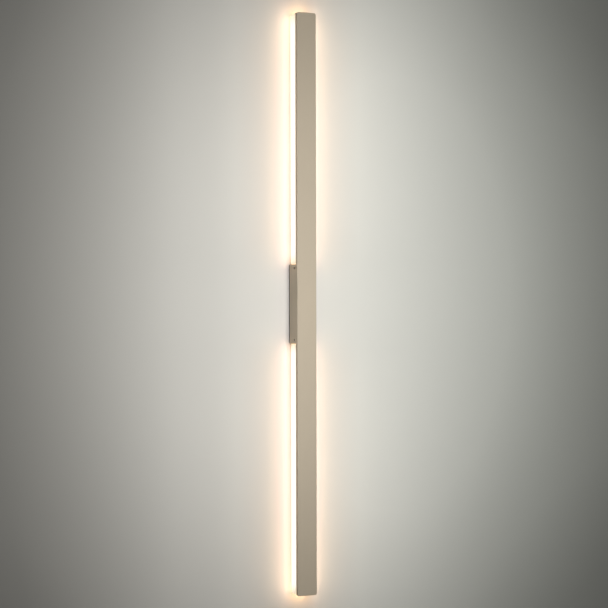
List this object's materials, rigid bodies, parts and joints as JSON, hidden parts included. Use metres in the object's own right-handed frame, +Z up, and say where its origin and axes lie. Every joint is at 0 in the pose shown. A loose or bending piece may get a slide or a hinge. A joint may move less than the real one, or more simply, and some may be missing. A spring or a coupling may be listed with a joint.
{
  "type": "wall light",
  "caption": "Slim upright bar held off the wall by a short box, with milky channels behind it that light the wall on both sides.",
  "frame": {"origin": "middle of the mount's back face, on the wall", "axes": "+Z up along the bar, +Y into the wall, +X to the right as seen from the room"},
  "size_m": [0.037, 0.032, 1],
  "materials": {
    "champagne_paint": "satin",
    "bracket_steel": "satin black coat",
    "pad_foam": "closed-cell foam",
    "milky_plastic": "frosted",
    "board_white": "white solder mask on aluminium",
    "heat_tape": "matt",
    "led_package": "phosphor",
    "resistor_black": "matt",
    "solder_tin": "dull tin",
    "block_aluminium": "milled",
    "screw_zinc": "zinc plated",
    "screw_black": "black oxide",
    "grommet_rubber": "matt",
    "bushing_plastic": "matt",
    "driver_plastic": "fine texture",
    "circuit_green": "solder mask",
    "ferrite": "matt",
    "winding_tape": "tape",
    "capacitor_sleeve": "shrunk sleeve",
    "fuse_body": "glazed",
    "rectifier_black": "moulded",
    "terminal_plastic": "moulded",
    "clamp_brass": "milled",
    "lug_tin": "tinned copper",
    "lead_brown": "insulation",
    "lead_blue": "insulation",
    "lead_green_yellow": "insulation",
    "lead_red": "insulation",
    "lead_black": "insulation"
  },
  "bodies": {
    "root": {"front_bar": "champagne_paint", "mount_housing": "champagne_paint", "wall_bracket": "bracket_steel", "wall_pad": "pad_foam", "upper_diffuser": "milky_plastic", "upper_diffuser_inner_cap": "milky_plastic", "upper_diffuser_outer_cap": "milky_plastic", "lower_diffuser": "milky_plastic", "lower_diffuser_inner_cap": "milky_plastic", "lower_diffuser_outer_cap": "milky_plastic", "upper_led_board": "board_white", "lower_led_board": "board_white", "upper_board_tape": "heat_tape", "lower_board_tape": "heat_tape", "upper_leds": "led_package", "lower_leds": "led_package", "upper_resistors": "resistor_black", "lower_resistors": "resistor_black", "upper_solder_joints": "solder_tin", "lower_solder_joints": "solder_tin", "mount_block": "block_aluminium", "bar_screws": "screw_zinc", "bar_screw_washers": "screw_zinc", "driver_screws": "screw_zinc", "terminal_fixing_screws": "screw_zinc", "terminal_clamp_screws": "screw_zinc", "earth_screw": "screw_zinc", "earth_washer": "screw_zinc", "side_screws": "screw_black", "cable_grommet": "grommet_rubber", "lead_bushing": "bushing_plastic", "driver_case": "driver_plastic", "driver_lid": "driver_plastic", "driver_board": "circuit_green", "driver_transformer_core": "ferrite", "driver_choke": "ferrite", "driver_transformer_winding": "winding_tape", "driver_capacitors": "capacitor_sleeve", "driver_fuse": "fuse_body", "driver_rectifier": "rectifier_black", "terminal_block": "terminal_plastic", "terminal_clamps": "clamp_brass", "earth_lug": "lug_tin", "live_lead": "lead_brown", "neutral_lead": "lead_blue", "earth_lead": "lead_green_yellow", "driver_positive_lead": "lead_red", "link_positive_lead": "lead_red", "driver_negative_lead": "lead_black", "link_negative_lead": "lead_black"}
  },
  "joints": []
}
